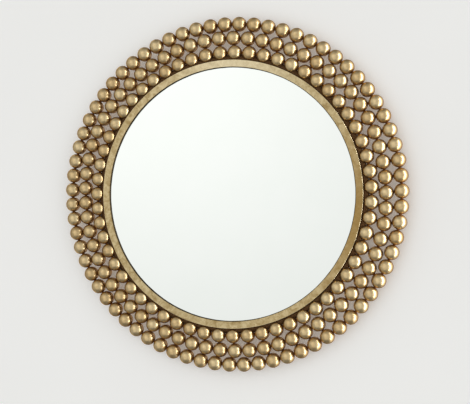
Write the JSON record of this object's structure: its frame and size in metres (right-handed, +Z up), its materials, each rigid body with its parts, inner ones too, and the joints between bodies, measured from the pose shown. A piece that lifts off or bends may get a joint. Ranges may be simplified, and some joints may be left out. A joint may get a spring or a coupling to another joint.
{
  "type": "round wall mirror",
  "caption": "Round wall mirror in a flat rolled metal hoop, edged by closed rings of hollow metal balls, with swinging D-ring hangers and rubber bumpers behind.",
  "frame": {"origin": "on the wall, behind the centre of the glass, in the plane of the bumpers' rear faces", "axes": "+Z up the wall, +Y into the wall, +X to the right as seen from the room; the glass faces -Y"},
  "size_m": [0.7192, 0.0406, 0.7192],
  "materials": {
    "hoop_metal": "satin",
    "ball_metal": "satin",
    "mirror_glass": "polished",
    "gasket_rubber": "matte",
    "backing_card": "matte",
    "board_paint": "matte",
    "tab_steel": "satin",
    "zinc_steel": "satin",
    "bumper_rubber": "matte"
  },
  "bodies": {
    "mirror": {"rim_hoop": "hoop_metal", "glass_gasket": "gasket_rubber", "mirror_glass": "mirror_glass", "backing_card": "backing_card", "back_board": "board_paint", "retaining_tabs": "tab_steel", "balls_outer_ring": "ball_metal", "balls_middle_ring": "ball_metal", "balls_inner_ring": "ball_metal", "hanger_plate_left": "hoop_metal", "hanger_plate_right": "hoop_metal", "bumper_plate_left": "hoop_metal", "bumper_plate_right": "hoop_metal", "hanger_strap_left": "zinc_steel", "hanger_strap_right": "zinc_steel", "strap_screws": "zinc_steel", "bumper_screws": "zinc_steel", "bumper_washers": "zinc_steel", "wall_bumper_left": "bumper_rubber", "wall_bumper_right": "bumper_rubber"},
    "left_ring": {"hanger_ring_left": "zinc_steel"},
    "right_ring": {"hanger_ring_right": "zinc_steel"}
  },
  "joints": [
    {"name": "left_ring_swing", "type": "hinge", "parent": "mirror", "child": "left_ring", "pos_m": [-0.165, -0.0037, 0.17994], "axis": [1, 0, 0], "range_deg": [0, 180]},
    {"name": "right_ring_swing", "type": "hinge", "parent": "mirror", "child": "right_ring", "pos_m": [0.165, -0.0037, 0.17994], "axis": [1, 0, 0], "range_deg": [0, 180]}
  ]
}
